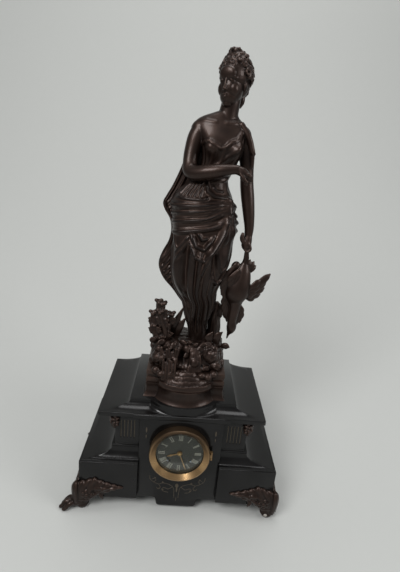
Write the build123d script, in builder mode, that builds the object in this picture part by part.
"""Figural mantel clock: slate case on claw feet, round French movement, draped figure group on top.

Millimetres. +Z is up, the dial faces -Y, +X is the viewer's right. The origin lies on the floor under
the middle of the plinth.
"""
import os
from math import asin, atan2, cos, degrees, hypot, radians, sin, sqrt

from build123d import *

os.makedirs("parts", exist_ok=True)

# Slate case
SLAB = 12.0
PLINTH_WIDTH = 364.0
PLINTH_DEPTH = 198.4
PLINTH_LIFT = 25.4
PLINTH_HEIGHT = 79.6
MOULDING_RISE = 33.0
BODY_WIDTH = 240.0
BODY_SETBACK = 17.0
BODY_HEIGHT = 62.0
CORNICE_WIDTH = 299.6
CORNICE_SETBACK = 8.6
CORNICE_BREAK = 3.0
CORNICE_THICKNESS = 8.7
ROOF_RISE = 16.5
PLATFORM_WIDTH = 193.0
PLATFORM_SETBACK = 22.6
BOW_WIDTH = 120.0
BOW_DEPTH = 24.0
BOW_START = 0.4
PANEL_WIDTH = 150.0
PANEL_SETBACK = 6.6
APRON_WIDTH = 92.0
APRON_DROP = 19.0
EASE = 0.8
FLUTE_WIDTH = 1.8
FLUTE_DEPTH = 1.2
FLUTE_PITCH = 6.0
FLUTE_LENGTH = 38.0
FLUTE_COUNT = 5

# Shares of the moulding's rise and run: foot fillet, hollow, top fillet
FILLET_RISE_SHARE = 0.14
FILLET_RUN_SHARE = 0.05
HOLLOW_START_SHARE = 0.11
HOLLOW_END_SHARE = 0.94
TOP_FILLET_SHARE = 0.91
HOLLOW_TOP_SHARE = 0.80
NECK_SHARE = 0.90
ROOF_HOLLOW_SHARE = 0.74
HOLLOW_STEPS = 5
APRON_SHOULDER_SHARE = 0.30
APRON_FOOT_SHARE = 0.70

# Claw feet and corner masks
STUB_RADIUS = 13.0
STUB_INSET = 5.0
LEAF_LENGTH = 84.0
LEAF_SIDE_LENGTH = 62.0
LEAF_HEIGHT = 66.0
LEAF_FLOOR_GAP = 8.0
LEAF_THICKNESS = 6.0
VOLUTE_RADIUS = 12.0
VOLUTE_REACH = 6.0
PAW_REACH = 36.0
PAW_RADIUS = 12.5
PAW_TURN_FRONT = 22.5
MASK_WIDTH = 19.0
MASK_HEIGHT = 27.0
MASK_DEPTH = 9.0
MASK_DROP = 12.5
MASK_SHARES = ((1.0, -1.0), (1.0, 0.2), (0.86, 0.7), (0.45, 1.0))
LEAF_SHARES = ((-0.04, 0.74), (0.16, 0.90), (0.36, 1.0), (0.56, 0.86), (1.0, 0.66), (0.80, 0.42),
               (0.62, 0.20), (0.36, 0.03), (-0.04, 0.0))
PAW_SHARES = ((0.05, 1.10, 0.90), (0.35, 0.86, 0.86), (0.62, 0.80, 0.90), (0.86, 0.62, 0.80),
              (1.0, 0.40, 0.45))

# Dial and bezel
DIAL_RAISE = 110.6
DIAL_RADIUS = 46.5
DIAL_THICKNESS = 2.0
DIAL_STAND = 6.4
DIAL_FIT = 0.3
DIAL_FOOT_RADIUS = 1.5
DIAL_FOOT_ANGLES = (108.0, 228.0, 348.0)
BEZEL_RADIUS = 55.0
BEZEL_SIGHT = 43.5
BEZEL_DEPTH = 17.9
BEZEL_RIM = 3.4
BEZEL_EASE_SHARE = 0.33
BASE_DEPTH = 8.0
BASE_INSET = 1.0
DOOR_GAP = 0.3
GLASS_THICKNESS = 1.6
GLASS_SEAT = 1.5
GLASS_RISE = 7.0
GLASS_FIT = 0.1
LEDGE = 3.0
LIP = 0.7
KNUCKLE_RADIUS = 2.2
KNUCKLE_STAND = 0.5
KNUCKLE_LENGTH = 6.0
KNUCKLE_MIDDLE_SHARES = ((-0.5, 0.5),)
KNUCKLE_OUTER_SHARES = ((-1.5, -0.5), (0.5, 1.5))
HINGE_PIN_RADIUS = 1.0
WINDING_HOLE = 4.2
REGULATOR_HOLE = 2.2

# Hands
HAND_THICKNESS = 0.8
HAND_NECK_SHARE = 0.55
HAND_BELLY_SHARE = 0.70
HOUR_HAND_LENGTH = 24.0
HOUR_HAND_WIDTH = 4.0
HOUR_HAND_STAND = 0.9
MINUTE_HAND_LENGTH = 38.0
MINUTE_HAND_WIDTH = 3.0
MINUTE_HAND_STAND = 2.3
HOUR_HAND_ANGLE = -163.0
MINUTE_HAND_ANGLE = -69.0

# Movement
RUN_FIT = 0.05
END_SHAKE = 0.2
PLATE_RADIUS = 44.0
PLATE_THICKNESS = 2.5
PLATE_GAP = 37.5
MOTION_GAP = 13.0
PILLAR_RADIUS = 2.5
PILLAR_CIRCLE = 39.5
PILLAR_ANGLES = (18.0, 58.0, 122.0, 162.0, 270.0)
PIVOT_RADIUS = 0.45
ARBOR_RADIUS = 0.7
BARREL_X = 21.0
BARREL_DROP = 17.0
BARREL_RADIUS = 16.4
BARREL_LENGTH = 24.5
BARREL_START = 5.0
WINDING_RADIUS = 2.5
WINDING_SQUARE = 3.4
WINDING_STAND = 0.5
GREAT_TEETH = 60
GREAT_PINION_TEETH = 10
GREAT_MODULE = 0.6
SECOND_TEETH = 50
CENTRE_PINION_TEETH = 10
SECOND_MODULE = 0.5
CENTRE_TEETH = 84
THIRD_PINION_TEETH = 7
CENTRE_MODULE = 0.31
THIRD_TEETH = 84
ESCAPE_PINION_TEETH = 7
THIRD_MODULE = 0.27
THIRD_OFFSET = 4.0
ESCAPE_TEETH = 36
ESCAPE_RADIUS = 7.5
ESCAPE_TOOTH = 1.6
ESCAPE_TOOTH_SHARES = ((1.0, 0.05), (0.0, 0.45), (0.0, 0.55), (1.0, 0.75))
STRIKE_TEETH = 60
FLY_PINION_TEETH = 8
STRIKE_MODULE = 0.36
FLY_ANGLE = 125.0
FLY_RADIUS = 9.0
FLY_LENGTH = 13.0
FLY_THICKNESS = 0.8
COUNT_WHEEL_RADIUS = 9.5
COUNT_NOTCH = 1.6
COUNT_NOTCHES = 11
CANNON_TEETH = 12
MINUTE_TEETH = 36
CANNON_MODULE = 0.5
MINUTE_PINION_TEETH = 10
HOUR_TEETH = 40
MINUTE_ANGLE = 135.0
WHEEL_THICKNESS = 1.2
PINION_LENGTH = 3.4
CANNON_RADIUS = 1.9
HOUR_PIPE_RADIUS = 2.8
MOTION_CLEARANCE = 1.2
CENTRE_LEVEL = 2.0
THIRD_LEVEL = 8.0
ESCAPE_LEVEL = 15.0
FLY_LEVEL = 11.0
SECOND_LEVEL = 33.5
TIP_SHARE = 0.70
ROOT_SHARE = 1.25
TOOTH_ROOT_SHARE = 0.23
TOOTH_TIP_SHARE = 0.09
CROSSING_SHARE = 0.72
HUB_SHARE = 0.26
WHEEL_SPOKES = 4

# Escapement, pendulum and strike work
ANCHOR_RISE = 10.0
ANCHOR_WIDTH = 2.4
ANCHOR_GAP = 0.7
CRUTCH_LENGTH = 34.0
CRUTCH_WIDTH = 3.0
CRUTCH_THICKNESS = 1.4
CRUTCH_STAND = 1.0
PRONG_GAP = 0.2
PRONG_WIDTH = 1.4
COCK_SPAN = 18.0
COCK_WIDTH = 4.0
COCK_THICKNESS = 2.5
HOOK_PIN_RADIUS = 1.0
EYE_RADIUS = 2.6
EYE_LENGTH = 3.0
EYE_SETBACK = 3.0
ROD_RADIUS = 1.2
PENDULUM_LENGTH = 106.0
BOB_RADIUS = 15.0
BOB_THICKNESS = 8.0
BOB_EDGE_SHARE = 0.7
NUT_RADIUS = 3.0
NUT_LENGTH = 4.0
REGULATOR_RADIUS = 1.2
REGULATOR_HEIGHT = 40.6
REGULATOR_STAND = 0.6
BELL_RADIUS = 33.0
BELL_DEPTH = 20.0
BELL_WALL = 1.8
BELL_DROP = 8.0
BELL_BACK = 6.0
BELL_CROWN_SHARE = 0.35
BELL_WAIST_SHARE = 0.82
BELL_SHOULDER_SHARE = 0.32
STAND_RADIUS = 2.0
STAND_X = 14.0
STAND_DROP = 16.0
STAND_SETBACK = 4.0
HAMMER_X = 36.0
HAMMER_RISE = 4.0
HAMMER_HEAD = 3.6
HAMMER_GAP = 0.6
HAMMER_LENGTH = 8.0
HAMMER_OVERHANG_SHARE = 0.25
STRAP_THICKNESS = 1.6
STRAP_WIDTH = 8.0
STRAP_GAP = 0.4
HOLE_GAP = 3.5
REAR_RING_THICKNESS = 3.0
REAR_RING_INSIDE = 43.0
REAR_DOOR_RADIUS = 50.0
REAR_DOOR_THICKNESS = 2.0
REAR_VENT_RADIUS = 2.6
REAR_VENT_CIRCLE = 30.0
REAR_VENTS = 12
REAR_KNOB_RADIUS = 3.5
REAR_KNOB_X = 41.0
REAR_KNOB_LENGTH = 11.6

# Figure group
SOCLE_WIDTH = 142.0
SOCLE_DEPTH = 112.0
SOCLE_HEIGHT = 52.0
SOCLE_BOW = 29.0
SOCLE_FLARE = 4.0
SOCLE_WALL = 6.0
BLOCK_WIDTH = 21.0
BLOCK_GROOVE = 3.0
MOUND_RISE = 50.0
MOUND_WIDTH = 140.0
MOUND_DEPTH = 108.0
MOUND_WALL = 8.0
MOUND_CORNER_SHARE = 0.25
CASTING_WALL = 5.0
FIGURE_HEIGHT = 485.0
FIGURE_X = 16.0
STUD_RADIUS = 4.0
STUD_Y = 22.0
STUD_TAIL = 22.0
STUD_HOLD = 24.0
STUD_CLEARANCE = 0.5
STUD_BOSS = 10.0
STUD_NUT_RADIUS = 8.0
STUD_NUT_LENGTH = 7.0
SOCLE_GROOVE_SHARES = ((0.84, 0.72), (0.55, 0.51))
# Shares of the socle's height and bow: top of a ripple in the pool, its reach
RIPPLE_SHARES = ((0.66, 0.92), (0.76, 0.78), (0.86, 0.62), (0.96, 0.44))
SOCLE_FLARE_SHARE = 0.51
SOCLE_STEP_SHARE = 0.33
# Shares of the mound's half width, half depth and rise: middle x, y, z and radius
ROCK_SHARES = (
    (-0.70, -0.78, 0.46, 0.34), (-0.80, -0.20, 0.55, 0.30), (-0.30, -0.86, 0.40, 0.26),
    (0.20, -0.88, 0.34, 0.24), (0.62, -0.74, 0.62, 0.36), (0.80, -0.10, 0.50, 0.30),
    (0.74, -0.86, 0.26, 0.24), (-0.64, 0.72, 0.42, 0.34), (0.56, 0.76, 0.45, 0.34), (-0.05, 0.84, 0.36, 0.30))
MOUND_SHARES = ((0.0, 1.0, 1.0, 0.0), (0.45, 1.0, 0.94, 0.02), (0.85, 0.98, 0.80, 0.05),
                (1.0, 0.86, 0.62, 0.06))

# Shares of the figure's height: level, middle x, middle y, half width, half depth
BODY_SHARES = (
    (0.004, 0.000, 0.000, 0.040, 0.040), (0.066, -0.005, -0.002, 0.040, 0.040),
    (0.148, -0.004, -0.005, 0.060, 0.056), (0.190, -0.021, -0.008, 0.074, 0.066),
    (0.231, -0.022, -0.010, 0.090, 0.076), (0.299, -0.015, -0.010, 0.104, 0.086),
    (0.381, -0.009, -0.006, 0.112, 0.088), (0.423, -0.009, -0.004, 0.121, 0.088),
    (0.470, -0.014, -0.002, 0.121, 0.086), (0.515, -0.022, 0.000, 0.117, 0.078),
    (0.550, -0.020, 0.000, 0.094, 0.068), (0.592, -0.008, 0.000, 0.061, 0.051),
    (0.643, 0.018, -0.004, 0.061, 0.051), (0.691, 0.029, -0.008, 0.068, 0.060),
    (0.732, 0.027, -0.004, 0.076, 0.055), (0.767, 0.020, 0.000, 0.077, 0.045),
    (0.791, 0.032, 0.000, 0.046, 0.034))
NECK_SHARES = (
    (0.791, 0.034, 0.000, 0.040, 0.032), (0.812, 0.037, -0.004, 0.031, 0.030),
    (0.835, 0.039, -0.010, 0.031, 0.031))
HEAD_SHARES = (
    (0.833, 0.036, -0.018, 0.022, 0.020), (0.850, 0.036, -0.014, 0.036, 0.036),
    (0.885, 0.040, -0.006, 0.050, 0.049), (0.920, 0.043, -0.002, 0.056, 0.055),
    (0.955, 0.043, 0.000, 0.054, 0.053), (0.985, 0.040, 0.000, 0.038, 0.038),
    (1.000, 0.036, 0.000, 0.016, 0.016))
KNOT_SHARES = ((0.850, 0.090, 0.030, 0.012), (0.866, 0.092, 0.030, 0.024), (0.890, 0.094, 0.026, 0.030),
               (0.914, 0.092, 0.022, 0.024), (0.926, 0.090, 0.020, 0.012))
# Folds of the dress, each through rows of bearing from the front in degrees,
# then shares of the figure's height: level, half girth, stand off the body
FOLD_SHARES = (
    ((-85, 0.506, 0.014, 0.006), (-42, 0.502, 0.015, 0.012), (0, 0.509, 0.014, 0.012),
     (34, 0.516, 0.014, 0.012), (62, 0.516, 0.014, 0.006)),
    ((-85, 0.472, 0.014, 0.006), (-42, 0.480, 0.015, 0.012), (0, 0.490, 0.014, 0.012),
     (32, 0.501, 0.012, 0.012), (56, 0.512, 0.010, 0.008)),
    ((-85, 0.438, 0.014, 0.006), (-42, 0.452, 0.016, 0.013), (0, 0.466, 0.015, 0.012),
     (30, 0.484, 0.012, 0.012), (54, 0.505, 0.010, 0.008)),
    ((-85, 0.402, 0.013, 0.005), (-42, 0.416, 0.014, 0.011), (0, 0.433, 0.014, 0.011),
     (26, 0.446, 0.012, 0.011), (48, 0.480, 0.010, 0.008)),
    ((62, 0.512, 0.013, 0.006), (110, 0.494, 0.014, 0.010), (180, 0.480, 0.014, 0.010),
     (230, 0.484, 0.014, 0.010), (272, 0.490, 0.013, 0.006)),
    ((64, 0.466, 0.013, 0.006), (115, 0.444, 0.014, 0.010), (175, 0.428, 0.014, 0.010),
     (228, 0.424, 0.014, 0.010), (270, 0.420, 0.013, 0.006)),
    ((58, 0.540, 0.016, 0.004), (52, 0.512, 0.020, 0.016), (44, 0.480, 0.016, 0.013),
     (34, 0.440, 0.011, 0.010), (22, 0.386, 0.008, 0.006), (12, 0.346, 0.005, 0.003)),
    ((-25, 0.404, 0.009, 0.004), (-19, 0.330, 0.011, 0.011), (-14, 0.240, 0.010, 0.010),
     (-16, 0.150, 0.009, 0.009), (-26, 0.050, 0.008, 0.005)),
    ((-9, 0.408, 0.009, 0.004), (-3, 0.330, 0.011, 0.011), (2, 0.230, 0.010, 0.010),
     (0, 0.140, 0.009, 0.009), (-2, 0.046, 0.008, 0.005)),
    ((6, 0.408, 0.009, 0.004), (13, 0.330, 0.010, 0.010), (19, 0.230, 0.010, 0.010),
     (24, 0.140, 0.009, 0.008), (28, 0.048, 0.008, 0.005)),
    ((-36, 0.392, 0.040, 0.004), (-40, 0.340, 0.046, 0.012), (-42, 0.286, 0.044, 0.018),
     (-38, 0.236, 0.034, 0.010), (-30, 0.190, 0.022, 0.002)),
    ((52, 0.390, 0.040, 0.004), (52, 0.320, 0.044, 0.012), (48, 0.250, 0.036, 0.006)))
# Shares of the figure's height: x, y, z, radius
RIGHT_ARM_SHARES = (
    (-0.052, 0.000, 0.766, 0.028), (-0.066, -0.004, 0.730, 0.029), (-0.074, -0.014, 0.680, 0.027),
    (-0.076, -0.028, 0.640, 0.025), (-0.062, -0.052, 0.614, 0.025), (-0.024, -0.078, 0.614, 0.025),
    (0.030, -0.092, 0.626, 0.021), (0.074, -0.096, 0.634, 0.017), (0.102, -0.096, 0.628, 0.016),
    (0.122, -0.096, 0.612, 0.009))
LEFT_ARM_SHARES = (
    (0.094, 0.000, 0.758, 0.026), (0.112, 0.000, 0.722, 0.027), (0.120, 0.000, 0.670, 0.025),
    (0.124, -0.002, 0.600, 0.024), (0.138, -0.010, 0.540, 0.022), (0.147, -0.018, 0.470, 0.020),
    (0.150, -0.022, 0.412, 0.015), (0.148, -0.026, 0.384, 0.019), (0.147, -0.028, 0.362, 0.012))
# Shares of the figure's height: x, z
MANTLE_SHARES = (
    (-0.050, 0.720), (-0.089, 0.690), (-0.110, 0.624), (-0.135, 0.563), (-0.163, 0.513), (-0.152, 0.492),
    (-0.126, 0.440), (-0.124, 0.388), (-0.158, 0.322), (-0.166, 0.290), (-0.147, 0.240),
    (-0.110, 0.198), (-0.066, 0.146), (-0.030, 0.150))
MANTLE_FRONT_SHARE = -0.020
MANTLE_BACK_SHARE = 0.036
LEFT_WING_SHARES = ((0.146, 0.316), (0.120, 0.320), (0.092, 0.276), (0.074, 0.232), (0.080, 0.196),
                    (0.100, 0.172), (0.148, 0.176))
RIGHT_WING_SHARES = ((0.150, 0.316), (0.180, 0.302), (0.216, 0.272), (0.246, 0.280), (0.238, 0.236),
                     (0.224, 0.200), (0.186, 0.172), (0.152, 0.176))
WING_FRONT_SHARE = -0.034
WING_THICKNESS_SHARE = 0.014
BIRD_SHARES = (
    (0.162, 0.146, -0.028, 0.020, 0.018), (0.190, 0.149, -0.030, 0.034, 0.028),
    (0.236, 0.150, -0.030, 0.040, 0.034), (0.282, 0.150, -0.029, 0.032, 0.028),
    (0.318, 0.149, -0.028, 0.014, 0.013))
BIRD_NECK_SHARES = (
    (0.142, -0.028, 0.182, 0.022), (0.132, -0.030, 0.150, 0.018), (0.128, -0.031, 0.118, 0.013),
    (0.130, -0.031, 0.088, 0.014), (0.127, -0.031, 0.062, 0.012), (0.118, -0.031, 0.034, 0.005),
    (0.113, -0.031, 0.018, 0.003))
BIRD_LEG_SHARES = (
    (0.149, -0.028, 0.300, 0.006), (0.148, -0.028, 0.340, 0.006), (0.147, -0.028, 0.376, 0.006))
# Shares of the figure's height: leaf root x, tip x, tip z, y, half width
PLANT_SHARES = (
    (-0.110, -0.160, 0.166, -0.040, 0.020), (-0.100, -0.122, 0.160, -0.052, 0.022),
    (-0.126, -0.172, 0.112, -0.044, 0.018), (-0.114, -0.172, 0.050, -0.056, 0.016),
    (-0.090, -0.080, 0.120, -0.060, 0.022))
LEAF_BLADE_SHARE = 0.010
LEAF_ROOT_SHARE = -0.012
STUMP_SHARES = ((-0.03, 0.056, 0.018, 0.030), (0.040, 0.062, 0.016, 0.027), (0.090, 0.058, 0.012, 0.025),
                (0.136, 0.060, 0.010, 0.022))

# Levels and faces worked out from the sizes
plinth_top = PLINTH_LIFT + PLINTH_HEIGHT
body_bottom = plinth_top + MOULDING_RISE
body_top = body_bottom + BODY_HEIGHT
cornice_top = body_top + CORNICE_THICKNESS
platform_top = cornice_top + ROOF_RISE
socle_top = platform_top + SOCLE_HEIGHT
figure_foot = socle_top + MOUND_RISE
back = PLINTH_DEPTH / 2
plinth_front = -PLINTH_DEPTH / 2
body_front = plinth_front + BODY_SETBACK
cornice_front = plinth_front + CORNICE_SETBACK
panel_front = plinth_front + PANEL_SETBACK
panel_back = panel_front + SLAB
wall_front = back - SLAB
half_plinth = PLINTH_WIDTH / 2
half_body = BODY_WIDTH / 2
half_panel = PANEL_WIDTH / 2
side_run = half_plinth - half_body
dial_z = PLINTH_LIFT + DIAL_RAISE
dial_front = panel_front - DIAL_STAND
dial_back = dial_front + DIAL_THICKNESS
plate_front = dial_back + MOTION_GAP
plates_in = plate_front + PLATE_THICKNESS
plates_out = plates_in + PLATE_GAP
plate_back = plates_out + PLATE_THICKNESS
hole_radius = PLATE_RADIUS + HOLE_GAP
dial_axis = Axis((0, 0, dial_z), (0, 1, 0))


def write(builder, name):
    """Label a finished piece and write its STEP file."""
    builder.part.label = name
    export_step(builder.part, f"parts/{name}.step")


def facing(y):
    """Upright plane at depth y: local x is +X, local y is +Z, and it faces the front."""
    return Plane(origin=(0, y, 0), x_dir=(1, 0, 0), z_dir=(0, -1, 0))


def span(low, high, mode=Mode.ADD):
    """Box between two opposite corners, in the part being built."""
    size = Vector(*high) - Vector(*low)
    with Locations((Vector(*high) + Vector(*low)) / 2):
        Box(abs(size.X), abs(size.Y), abs(size.Z), mode=mode)


def drum(x, z, radius, front, rear, mode=Mode.ADD):
    """Round bar along Y, placed from the dial's middle."""
    with BuildSketch(facing(rear)) as outline:
        with Locations((x, dial_z + z)):
            Circle(radius)
    extrude(outline.sketch, amount=rear - front, mode=mode)


def square_bar(x, z, side, front, rear, mode=Mode.ADD):
    """Square bar along Y, placed from the dial's middle."""
    with BuildSketch(facing(rear)) as outline:
        with Locations((x, dial_z + z)):
            Rectangle(side, side)
    extrude(outline.sketch, amount=rear - front, mode=mode)


def turned(points, mode=Mode.ADD):
    """Ring about the dial's axis from (radius, y) points."""
    with BuildSketch(Plane.XY.offset(dial_z)) as profile:
        with BuildLine():
            Polyline(*points, close=True)
        make_face()
    revolve(profile.sketch.faces(), axis=dial_axis, mode=mode)


def upright(x, y, radius, low, high, mode=Mode.ADD):
    """Round bar along Z."""
    with BuildSketch(Plane.XY.offset(low)) as outline:
        with Locations((x, y)):
            Circle(radius)
    extrude(outline.sketch, amount=high - low, mode=mode)


def figure_point(x, y, z):
    """Point of the figure group from shares of the figure's height."""
    return Vector(FIGURE_X + x * FIGURE_HEIGHT, y * FIGURE_HEIGHT, figure_foot + z * FIGURE_HEIGHT)


def ovals(rows, wall=0, mode=Mode.ADD):
    """Loft of level ovals from figure shares, thinner all round by wall."""
    sections = []
    for z, x, y, wide, deep in rows:
        middle = figure_point(x, y, z)
        with BuildSketch(Plane(origin=middle)) as ring:
            Ellipse(wide * FIGURE_HEIGHT - wall, deep * FIGURE_HEIGHT - wall)
        sections.append(ring.sketch)
    loft(sections, mode=mode)


def body_point(bearing_angle, level, stand):
    """Point off the figure's body at a bearing from the front, a level and a stand, as figure shares."""
    above = next(index for index, row in enumerate(BODY_SHARES) if row[0] >= level)
    low, high = BODY_SHARES[above - 1], BODY_SHARES[above]
    share = (level - low[0]) / (high[0] - low[0])
    x, y, wide, deep = (first + (last - first) * share for first, last in zip(low[1:], high[1:]))
    turn = radians(bearing_angle)
    return figure_point(x + (wide + stand) * sin(turn), y - (deep + stand) * cos(turn), level)


def limb(stations, mode=Mode.ADD):
    """Round tapering limb through (point, radius) stations, square to its run."""
    sections = []
    last = len(stations) - 1
    for index, (point, radius) in enumerate(stations):
        run = stations[min(index + 1, last)][0] - stations[max(index - 1, 0)][0]
        side = Vector(0, 1, 0).cross(run)
        with BuildSketch(Plane(origin=point, x_dir=side, z_dir=run)) as ring:
            Circle(radius)
        sections.append(ring.sketch)
    loft(sections, mode=mode)


def figure_limb(rows, mode=Mode.ADD):
    """Limb from figure shares of x, y, z and radius."""
    limb([(figure_point(x, y, z), radius * FIGURE_HEIGHT) for x, y, z, radius in rows], mode)


def fold(rows):
    """Round fold of the dress through rows of bearing, level, half girth and stand off the body."""
    middles = [body_point(angle, level, stand - girth) for angle, level, girth, stand in rows]
    sections = []
    last = len(rows) - 1
    for index, (angle, level, girth, stand) in enumerate(rows):
        run = middles[min(index + 1, last)] - middles[max(index - 1, 0)]
        out = Vector(sin(radians(angle)), -cos(radians(angle)), 0)
        with BuildSketch(Plane(origin=middles[index], x_dir=out, z_dir=run)) as ring:
            Circle(girth * FIGURE_HEIGHT)
        sections.append(ring.sketch)
    loft(sections)


def blade(outline_shares, front_share, thickness_share, mode=Mode.ADD):
    """Flat casting with a smooth outline, from figure shares of x and z."""
    points = [figure_point(x, 0, z) for x, z in outline_shares]
    rear = (front_share + thickness_share) * FIGURE_HEIGHT
    with BuildSketch(facing(rear)) as outline:
        with BuildLine():
            edge = Spline(*[(point.X, point.Z) for point in points])
            Line(edge @ 1, edge @ 0)
        make_face()
    extrude(outline.sketch, amount=thickness_share * FIGURE_HEIGHT, mode=mode)


def toothed(x, z, teeth, module, turn, front, rear, mode=Mode.ADD):
    """Toothed wheel blank, with a tooth pointing at the turn angle, seen from the front."""
    pitch = teeth * module / 2
    step = 360 / teeth
    root = pitch - ROOT_SHARE * module
    tip = pitch + TIP_SHARE * module
    corners = ((root, -TOOTH_ROOT_SHARE), (tip, -TOOTH_TIP_SHARE), (tip, TOOTH_TIP_SHARE),
               (root, TOOTH_ROOT_SHARE))
    points = []
    for tooth in range(teeth):
        for radius, share in corners:
            angle = radians(turn + (tooth + share) * step)
            points.append((x + radius * cos(angle), dial_z + z + radius * sin(angle)))
    with BuildSketch(facing(rear)) as outline:
        with BuildLine():
            Polyline(*points, close=True)
        make_face()
    extrude(outline.sketch, amount=rear - front, mode=mode)


def crossings(x, z, rim, front, rear):
    """Cut the windows between a wheel's spokes."""
    middle = rim * (CROSSING_SHARE + HUB_SHARE) / 2
    window = rim * (CROSSING_SHARE - HUB_SHARE) / 2
    with BuildSketch(facing(rear)) as windows:
        with Locations((x, dial_z + z)):
            with PolarLocations(middle, WHEEL_SPOKES):
                Circle(window * CROSSING_SHARE)
    extrude(windows.sketch, amount=rear - front, mode=Mode.SUBTRACT)


def arbor(x, z, rear_end=plate_back):
    """Arbor between the plates, with a pivot through the front one and another back to the rear end."""
    drum(x, z, ARBOR_RADIUS, plates_in + END_SHAKE, plates_out - END_SHAKE)
    drum(x, z, PIVOT_RADIUS, plate_front, plates_in + END_SHAKE)
    drum(x, z, PIVOT_RADIUS, plates_out - END_SHAKE, rear_end)


def bearing(angle_from, angle_to):
    """Angle, seen from the front, from one arbor's place to another's."""
    return degrees(atan2(angle_to[1] - angle_from[1], angle_to[0] - angle_from[0]))


def gap_turn(angle, teeth):
    """Turn that puts a gap between teeth at the angle."""
    return angle + 180 / teeth


# Arbor places, from the dial's middle, and the angles at which wheels meet
centre_at = (0, 0)
time_at = (BARREL_X, -BARREL_DROP)
strike_at = (-BARREL_X, -BARREL_DROP)
great_reach = (GREAT_TEETH + GREAT_PINION_TEETH) * GREAT_MODULE / 2
second_reach = (SECOND_TEETH + CENTRE_PINION_TEETH) * SECOND_MODULE / 2
barrel_reach = hypot(BARREL_X, BARREL_DROP)
along = (great_reach**2 - second_reach**2 + barrel_reach**2) / (2 * barrel_reach)
across = sqrt(great_reach**2 - along**2)
second_at = (BARREL_X - along * BARREL_X / barrel_reach + across * BARREL_DROP / barrel_reach,
             -BARREL_DROP + along * BARREL_DROP / barrel_reach + across * BARREL_X / barrel_reach)
strike_second_at = (-second_at[0], second_at[1])
third_reach = (CENTRE_TEETH + THIRD_PINION_TEETH) * CENTRE_MODULE / 2
third_at = (-THIRD_OFFSET, sqrt(third_reach**2 - THIRD_OFFSET**2))
escape_reach = (THIRD_TEETH + ESCAPE_PINION_TEETH) * THIRD_MODULE / 2
escape_at = (0, third_at[1] + sqrt(escape_reach**2 - THIRD_OFFSET**2))
anchor_at = (0, escape_at[1] + ANCHOR_RISE)
fly_reach = (STRIKE_TEETH + FLY_PINION_TEETH) * STRIKE_MODULE / 2
fly_at = (strike_second_at[0] + fly_reach * cos(radians(FLY_ANGLE)),
          strike_second_at[1] + fly_reach * sin(radians(FLY_ANGLE)))
motion_reach = (CANNON_TEETH + MINUTE_TEETH) * CANNON_MODULE / 2
hour_module = 2 * motion_reach / (MINUTE_PINION_TEETH + HOUR_TEETH)
minute_at = (motion_reach * cos(radians(MINUTE_ANGLE)), motion_reach * sin(radians(MINUTE_ANGLE)))
hammer_at = (-HAMMER_X, HAMMER_RISE)
regulator_at = (0, REGULATOR_HEIGHT)
great_front = plates_in + BARREL_START + BARREL_LENGTH
great_rear = great_front + WHEEL_THICKNESS
second_front = plates_in + SECOND_LEVEL
second_rear = second_front + WHEEL_THICKNESS
cannon_rear = plate_front - MOTION_CLEARANCE
cannon_front = cannon_rear - PINION_LENGTH
hour_rear = cannon_front - END_SHAKE
hour_front = hour_rear - WHEEL_THICKNESS
pivots = (centre_at, second_at, strike_second_at, third_at, escape_at, anchor_at, fly_at)


# Slate case
with BuildPart() as base_slab:
    span((SLAB - half_plinth, panel_back, PLINTH_LIFT), (half_plinth - SLAB, wall_front, PLINTH_LIFT + SLAB))
write(base_slab, "base_slab")

for side, sign in (("left", -1), ("right", 1)):
    with BuildPart() as plinth:
        span((sign * half_panel, plinth_front, PLINTH_LIFT),
             (sign * half_plinth, plinth_front + SLAB, plinth_top))
        span((sign * (half_plinth - SLAB), plinth_front, PLINTH_LIFT), (sign * half_plinth, back, plinth_top))
        rims = plinth.edges().filter_by(Axis.X).group_by(Axis.Y)[0]
        chamfer(rims, EASE)
    write(plinth, f"plinth_{side}")


def course_profile(plane, start, run, end):
    """Moulding section on a plane: foot fillet, hollow, top fillet and neck, from the edge inwards."""
    fillet_top = plinth_top + FILLET_RISE_SHARE * MOULDING_RISE
    hollow_top = plinth_top + HOLLOW_TOP_SHARE * MOULDING_RISE
    neck = plinth_top + NECK_SHARE * MOULDING_RISE
    foot = start + FILLET_RUN_SHARE * run
    hollow_start = start + HOLLOW_START_SHARE * run
    hollow_end = start + HOLLOW_END_SHARE * run
    top = start + TOP_FILLET_SHARE * run
    with BuildSketch(plane) as section:
        with BuildLine():
            Polyline((end, plinth_top), (foot, plinth_top), (foot, fillet_top), (hollow_start, fillet_top))
            EllipticalCenterArc((hollow_start, hollow_top), hollow_end - hollow_start,
                                hollow_top - fillet_top, start_angle=270, arc_size=90)
            Polyline((hollow_end, hollow_top), (top, hollow_top), (top, neck), (start + run, neck),
                     (start + run, body_bottom), (end, body_bottom), (end, plinth_top))
        make_face()
    return section.sketch


with BuildPart() as moulding_left:
    extrude(course_profile(facing(back), -half_plinth, side_run, -half_panel), amount=PLINTH_DEPTH)
    front_course = course_profile(Plane.YZ, plinth_front, BODY_SETBACK, back)
    extrude(front_course, amount=-half_plinth, mode=Mode.INTERSECT)
    span((SLAB - half_body, body_front + SLAB, plinth_top), (-half_panel, back, body_bottom),
         mode=Mode.SUBTRACT)
write(moulding_left, "moulding_left")

with BuildPart() as moulding_right:
    add(mirror(moulding_left.part, about=Plane.YZ, mode=Mode.PRIVATE))
write(moulding_right, "moulding_right")

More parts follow.
